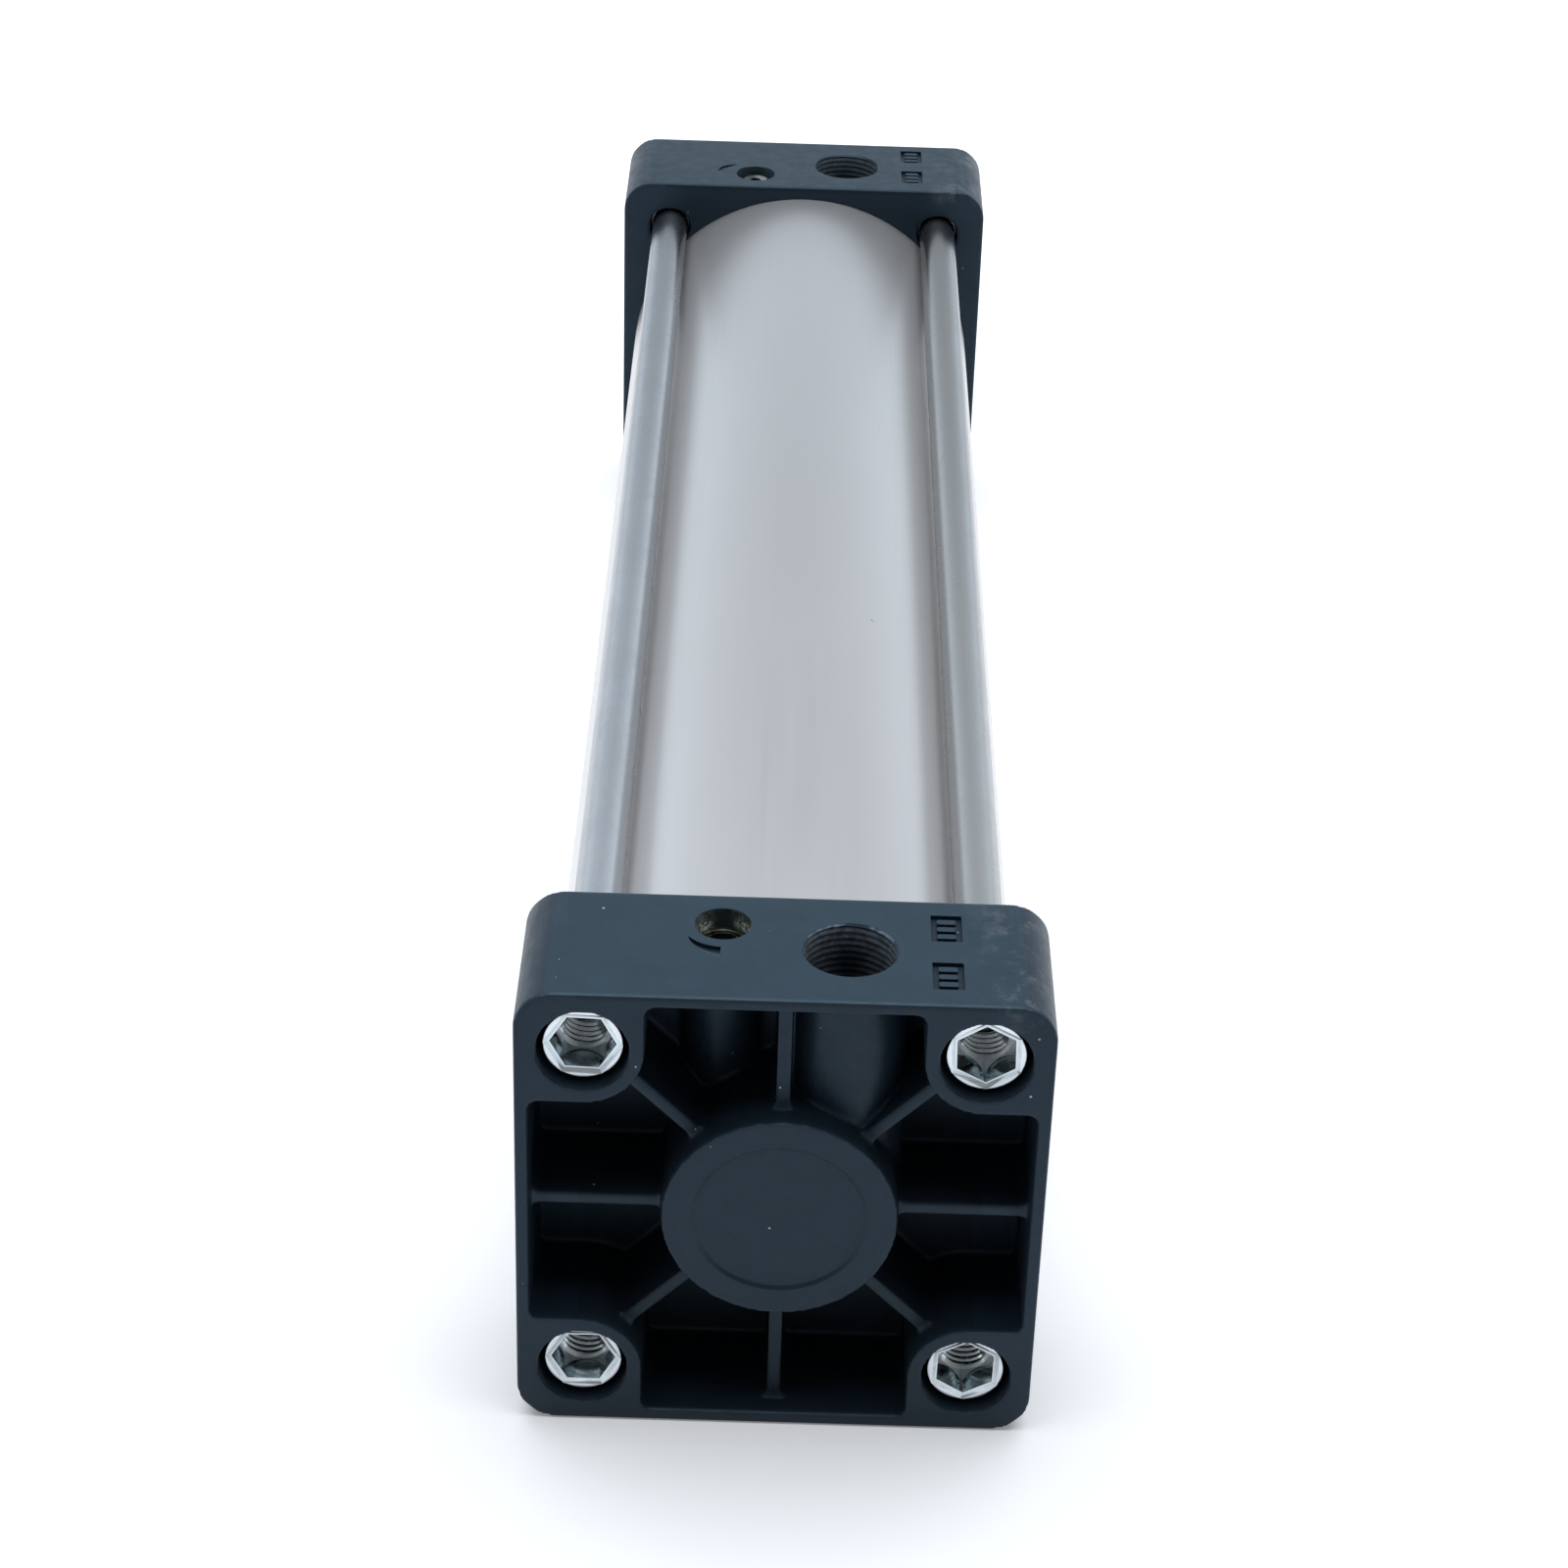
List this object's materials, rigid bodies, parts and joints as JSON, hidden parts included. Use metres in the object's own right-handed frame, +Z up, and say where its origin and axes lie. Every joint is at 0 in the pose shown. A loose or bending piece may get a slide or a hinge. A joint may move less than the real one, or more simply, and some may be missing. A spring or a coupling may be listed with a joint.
{
  "type": "pneumatic cylinder",
  "caption": "Tie-rod pneumatic cylinder with square ribbed end covers, a round alloy tube, cushioned ends and a threaded piston rod.",
  "frame": {"origin": "centre of the rear cover's outer face, on the cylinder axis", "axes": "+Y along the cylinder axis towards the rod end, +Z up out of the air ports, +X to the right seen from the rear"},
  "size_m": [0.094, 0.483, 0.094],
  "materials": {
    "cover_coating": "satin, fine cast grain",
    "tube_alloy": "satin anodised",
    "tie_rod_steel": "drawn, slightly stained",
    "zinc_plate": "bright zinc plate",
    "rod_chrome": "ground and hard chromed",
    "sleeve_steel": "turned",
    "ring_steel": "oiled spring steel",
    "piston_alloy": "turned",
    "bush_bronze": "sintered",
    "needle_brass": "turned, oily",
    "rubber": "matt",
    "guide_resin": "matt"
  },
  "bodies": {
    "barrel": {"rear_cover": "cover_coating", "front_cover": "cover_coating", "tube": "tube_alloy", "tie_rod_1": "tie_rod_steel", "tie_rod_2": "tie_rod_steel", "tie_rod_3": "tie_rod_steel", "tie_rod_4": "tie_rod_steel", "rear_tie_nuts": "zinc_plate", "front_tie_nuts": "zinc_plate", "rear_tube_o_ring": "rubber", "front_tube_o_ring": "rubber", "rod_bush": "bush_bronze", "rod_seal": "rubber", "rear_cushion_seal": "rubber", "front_cushion_seal": "rubber", "rear_needle_ring": "ring_steel", "front_needle_ring": "ring_steel"},
    "piston_seal_set": {"wear_ring": "guide_resin", "rear_piston_seal": "rubber", "front_piston_seal": "rubber"},
    "rod_assembly": {"piston_rod": "rod_chrome", "piston": "piston_alloy", "piston_o_ring": "rubber", "rear_cushion_sleeve": "sleeve_steel", "front_cushion_sleeve": "sleeve_steel", "piston_nut": "zinc_plate", "rod_lock_nut": "zinc_plate"},
    "rear_needle_seal": {"rear_needle_o_ring": "rubber"},
    "rear_needle_screw": {"rear_needle": "needle_brass"},
    "front_needle_seal": {"front_needle_o_ring": "rubber"},
    "front_needle_screw": {"front_needle": "needle_brass"}
  },
  "joints": [
    {"name": "rod_slide", "type": "slide", "parent": "barrel", "child": "piston_seal_set", "axis": [0, 1, 0], "range_m": [0, 0.3]},
    {"name": "rod_turn", "type": "hinge", "parent": "piston_seal_set", "child": "rod_assembly", "pos_m": [0, 0.054, 0], "axis": [0, 1, 0], "continuous": true},
    {"name": "rear_needle_lift", "type": "slide", "parent": "barrel", "child": "rear_needle_seal", "axis": [0, 0, 1], "range_m": [-0.00075, 0.00525]},
    {"name": "rear_needle_turn", "type": "hinge", "parent": "rear_needle_seal", "child": "rear_needle_screw", "pos_m": [-0.0115, 0.0236, 0.04], "axis": [0, 0, 1], "range_deg": [-360, 2520]},
    {"name": "front_needle_lift", "type": "slide", "parent": "barrel", "child": "front_needle_seal", "axis": [0, 0, 1], "range_m": [-0.006, 0]},
    {"name": "front_needle_turn", "type": "hinge", "parent": "front_needle_seal", "child": "front_needle_screw", "pos_m": [-0.013, 0.3846, 0.04], "axis": [0, 0, 1], "range_deg": [-2880, 0]}
  ],
  "couplings": [
    {"joint": "rear_needle_turn", "follows": "rear_needle_lift", "rad_per_m": 8377.6},
    {"joint": "front_needle_turn", "follows": "front_needle_lift", "rad_per_m": 8377.6}
  ]
}
